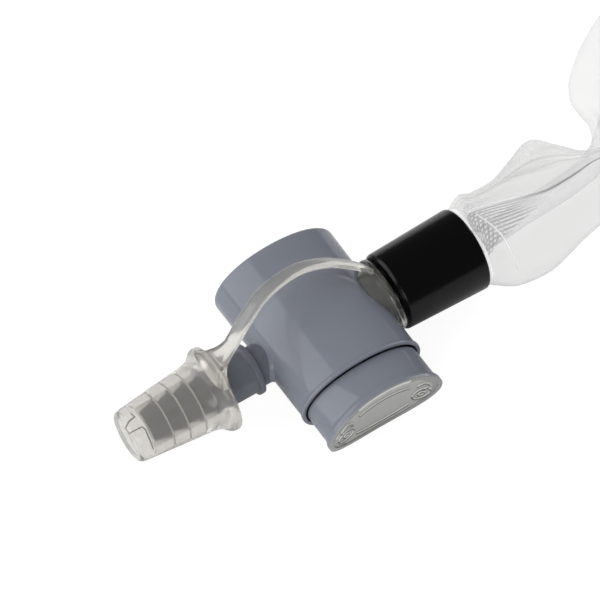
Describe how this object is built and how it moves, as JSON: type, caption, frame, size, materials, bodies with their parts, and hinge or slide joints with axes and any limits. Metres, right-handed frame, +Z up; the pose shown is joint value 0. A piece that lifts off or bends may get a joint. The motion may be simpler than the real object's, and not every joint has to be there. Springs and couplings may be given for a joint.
{
  "type": "closed suction catheter",
  "caption": "Closed suction catheter: oval push valve with a tethered port cap, black collar, film-sleeved catheter and a patient manifold with swivel connectors.",
  "frame": {"origin": "centre of the valve's box, on the ground plane that it lies on; the sleeved catheter and the manifold aren't counted", "axes": "+X along the valve's port axis towards the catheter, +Y along the push axis away from the thumb button, +Z up"},
  "size_m": [0.2831, 0.2409, 0.0299],
  "materials": {
    "grey_plastic": "semi-gloss moulded cool grey",
    "black_rubber": "glossy black",
    "milky_plastic": "translucent milky, satin",
    "film": "thin clear embossed film",
    "clear_plastic": "clear moulded",
    "spring_steel": "drawn wire",
    "silicone": "matt grey",
    "catheter_vinyl": "soft translucent tubing"
  },
  "bodies": {
    "valve": {"valve_body": "grey_plastic", "base_cap": "grey_plastic", "bonnet_ring": "grey_plastic", "return_spring": "spring_steel", "sleeve_collar": "black_rubber", "catheter_bush": "grey_plastic", "catheter_tube": "catheter_vinyl", "film_sleeve": "film", "manifold_collar": "black_rubber", "manifold_body": "clear_plastic", "wiper_seal": "silicone", "seal_retainer": "clear_plastic"},
    "stem": {"valve_stem": "grey_plastic", "front_seal": "silicone", "back_seal": "silicone"},
    "button": {"thumb_button": "grey_plastic"},
    "tether": {"cap_strap": "milky_plastic"},
    "cap": {"port_cap": "milky_plastic"},
    "airway_connector": {"airway_swivel": "clear_plastic"},
    "circuit_connector": {"circuit_swivel": "clear_plastic"},
    "irrigation_stopper": {"irrigation_cap": "milky_plastic"}
  },
  "joints": [
    {"name": "button_press", "type": "slide", "parent": "valve", "child": "stem", "axis": [0, 1, 0], "range_m": [0, 0.004], "stiffness_N_per_m": 700, "springref_m": -0.003, "deforming": ["return_spring"]},
    {"name": "button_lock", "type": "hinge", "parent": "stem", "child": "button", "pos_m": [0.0046, -0.017, 0.0086], "axis": [0, 1, 0], "range_deg": [0, 180]},
    {"name": "tether_swing", "type": "hinge", "parent": "valve", "child": "tether", "pos_m": [0.0183, 0.00291, 0.0086], "axis": [1, 0, 0], "range_deg": [0, 60]},
    {"name": "cap_pull", "type": "slide", "parent": "tether", "child": "cap", "axis": [-1, 0, 0], "range_m": [0, 0.024]},
    {"name": "airway_turn", "type": "hinge", "parent": "valve", "child": "airway_connector", "pos_m": [-0.056, 0.18891, 0.011], "axis": [1, 0, 0], "continuous": true},
    {"name": "circuit_turn", "type": "hinge", "parent": "valve", "child": "circuit_connector", "pos_m": [-0.0317, 0.21, 0.011], "axis": [0, 1, 0], "continuous": true},
    {"name": "irrigation_pull", "type": "slide", "parent": "valve", "child": "irrigation_stopper", "axis": [0, 0, 1], "range_m": [0, 0.009]}
  ]
}
